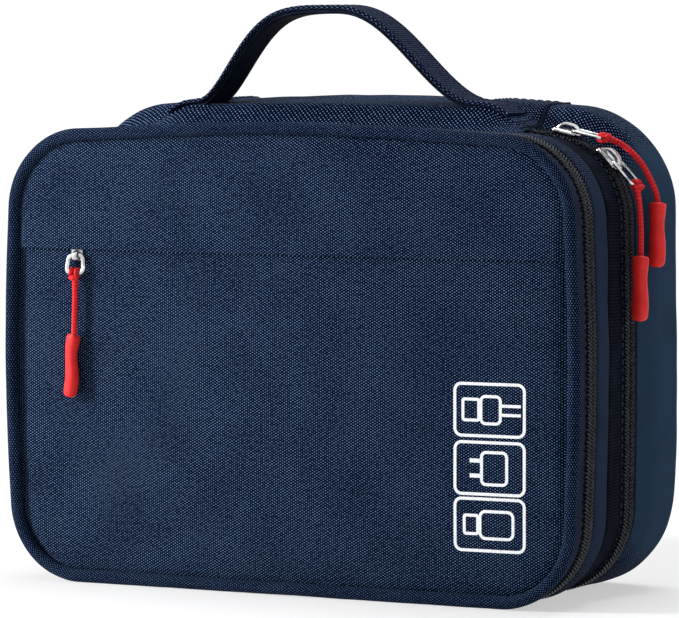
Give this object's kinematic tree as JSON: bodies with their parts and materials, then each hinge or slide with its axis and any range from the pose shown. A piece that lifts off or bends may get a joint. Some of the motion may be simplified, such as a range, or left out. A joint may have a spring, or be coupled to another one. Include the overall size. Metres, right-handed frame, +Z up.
{
  "type": "cable organizer pouch",
  "caption": "Soft two-layer travel case with a zipped front pocket, a carry handle, an elastic-loop leaf and a padded rear compartment.",
  "frame": {"origin": "centre of the rear shell's flat bottom, which the case stands on", "axes": "+X to the right along the width as seen from the front, -Y out of the front cover, +Z up"},
  "size_m": [0.2776, 0.1047, 0.2383],
  "materials": {
    "navy_oxford": "woven",
    "navy_piping": "woven",
    "dark_binding": "satin",
    "lining": "smooth",
    "mesh": "open net",
    "elastic": "ribbed",
    "padded_panel": "padded",
    "stiff_board": "matte",
    "foam": "open cell",
    "zip_black": "coil and tape",
    "white_print": "screen print",
    "polished_metal": "polished",
    "red_cord": "braided",
    "red_rubber": "satin"
  },
  "bodies": {
    "shell": {"rear_shell": "navy_oxford", "shell_padding": "foam", "shell_lining": "lining", "rear_zip_shell_half": "zip_black", "left_patch": "navy_oxford", "right_patch": "navy_oxford", "handle_ends": "navy_oxford", "long_divider": "padded_panel", "left_divider": "padded_panel", "right_divider": "padded_panel"},
    "leaf": {"front_zip_leaf_half": "zip_black", "middle_band": "navy_oxford", "leaf_binding": "dark_binding", "divider_panel": "padded_panel", "elastic_loops": "elastic", "leaf_mesh_pocket": "mesh", "rear_zip_leaf_half": "zip_black"},
    "cover": {"pocket_panel": "navy_oxford", "flap_panel": "navy_oxford", "cover_piping": "navy_piping", "cover_gusset": "dark_binding", "cover_board": "stiff_board", "cover_lining": "lining", "cover_mesh_pocket": "mesh", "pocket_lining": "lining", "pocket_zip": "zip_black", "print_marks": "white_print", "front_zip_cover_half": "zip_black"},
    "handle": {"handle_outer_strap": "navy_oxford", "handle_inner_strap": "dark_binding"},
    "pocket_slider_body": {"pocket_slider": "polished_metal"},
    "pocket_ring_body": {"pocket_ring": "polished_metal"},
    "pocket_pull": {"pocket_knot": "red_cord", "pocket_cord": "red_cord", "pocket_grip": "red_rubber"},
    "rear_upper_slider_body": {"rear_upper_slider": "polished_metal"},
    "rear_upper_ring_body": {"rear_upper_ring": "polished_metal"},
    "rear_upper_pull": {"rear_upper_knot": "red_cord", "rear_upper_cord": "red_cord", "rear_upper_grip": "red_rubber"},
    "rear_lower_slider_body": {"rear_lower_slider": "polished_metal"},
    "rear_lower_ring_body": {"rear_lower_ring": "polished_metal"},
    "rear_lower_pull": {"rear_lower_knot": "red_cord", "rear_lower_cord": "red_cord", "rear_lower_grip": "red_rubber"},
    "front_upper_slider_body": {"front_upper_slider": "polished_metal"},
    "front_upper_ring_body": {"front_upper_ring": "polished_metal"},
    "front_upper_pull": {"front_upper_knot": "red_cord", "front_upper_cord": "red_cord", "front_upper_grip": "red_rubber"},
    "front_lower_slider_body": {"front_lower_slider": "polished_metal"},
    "front_lower_ring_body": {"front_lower_ring": "polished_metal"},
    "front_lower_pull": {"front_lower_knot": "red_cord", "front_lower_cord": "red_cord", "front_lower_grip": "red_rubber"}
  },
  "joints": [
    {"name": "leaf_hinge", "type": "hinge", "parent": "shell", "child": "leaf", "pos_m": [0, -0.04505, 0.1874], "axis": [-1, 0, 0], "range_deg": [0, 70]},
    {"name": "cover_hinge", "type": "hinge", "parent": "leaf", "child": "cover", "pos_m": [0, -0.07755, 0.1874], "axis": [-1, 0, 0], "range_deg": [0, 100]},
    {"name": "handle_hinge", "type": "hinge", "parent": "shell", "child": "handle", "pos_m": [0, -0.02605, 0.1989], "axis": [1, 0, 0], "range_deg": [-30, 20], "stiffness_Nm_per_rad": 0.05},
    {"name": "pocket_slide", "type": "slide", "parent": "cover", "child": "pocket_slider_body", "axis": [1, 0, 0], "range_m": [0, 0.19]},
    {"name": "pocket_ring_swing", "type": "hinge", "parent": "pocket_slider_body", "child": "pocket_ring_body", "pos_m": [-0.096, -0.08215, 0.1357], "axis": [-1, 0, 0], "range_deg": [0, 70]},
    {"name": "pocket_cord_swing", "type": "hinge", "parent": "pocket_ring_body", "child": "pocket_pull", "pos_m": [-0.096, -0.0834, 0.12861], "axis": [-1, 0, 0], "range_deg": [0, 40]},
    {"name": "rear_upper_slide", "type": "hinge", "parent": "shell", "child": "rear_upper_slider_body", "pos_m": [0.093, -0.02505, 0.152], "axis": [0, -1, 0], "range_deg": [0, 8]},
    {"name": "rear_upper_ring_swing", "type": "hinge", "parent": "rear_upper_slider_body", "child": "rear_upper_ring_body", "pos_m": [0.10386, -0.02505, 0.18793], "axis": [0, -1, 0], "range_deg": [0, 20]},
    {"name": "rear_upper_cord_swing", "type": "hinge", "parent": "rear_upper_ring_body", "child": "rear_upper_pull", "pos_m": [0.11604, -0.02505, 0.18512], "axis": [0, -1, 0], "range_deg": [0, 60]},
    {"name": "rear_lower_slide", "type": "hinge", "parent": "shell", "child": "rear_lower_slider_body", "pos_m": [0.093, -0.02505, 0.152], "axis": [0, 1, 0], "range_deg": [0, 43]},
    {"name": "rear_lower_ring_swing", "type": "hinge", "parent": "rear_lower_slider_body", "child": "rear_lower_ring_body", "pos_m": [0.12209, -0.02505, 0.17571], "axis": [0, -1, 0], "range_deg": [0, 20]},
    {"name": "rear_lower_pull_hang", "type": "hinge", "parent": "rear_lower_ring_body", "child": "rear_lower_pull", "pos_m": [0.13062, -0.02505, 0.16657], "axis": [0, -1, 0], "range_deg": [0, 43]},
    {"name": "front_upper_slide", "type": "slide", "parent": "leaf", "child": "front_upper_slider_body", "axis": [0, 0, 1], "range_m": [0, 0.014]},
    {"name": "front_upper_ring_swing", "type": "hinge", "parent": "front_upper_slider_body", "child": "front_upper_ring_body", "pos_m": [-0.13045, -0.06605, 0.1295], "axis": [0, 1, 0], "range_deg": [0, 75]},
    {"name": "front_upper_cord_swing", "type": "hinge", "parent": "front_upper_ring_body", "child": "front_upper_pull", "pos_m": [-0.13045, -0.06605, 0.117], "axis": [0, 1, 0], "range_deg": [0, 60]},
    {"name": "front_lower_slide", "type": "slide", "parent": "leaf", "child": "front_lower_slider_body", "axis": [0, 0, -1], "range_m": [0, 0.03]},
    {"name": "front_lower_ring_swing", "type": "hinge", "parent": "front_lower_slider_body", "child": "front_lower_ring_body", "pos_m": [-0.13045, -0.06605, 0.0995], "axis": [0, 1, 0], "range_deg": [0, 75]},
    {"name": "front_lower_cord_swing", "type": "hinge", "parent": "front_lower_ring_body", "child": "front_lower_pull", "pos_m": [-0.13045, -0.06605, 0.087], "axis": [0, 1, 0], "range_deg": [0, 60]}
  ],
  "couplings": [
    {"joint": "rear_lower_pull_hang", "follows": "rear_lower_slide", "ratio": 1}
  ]
}
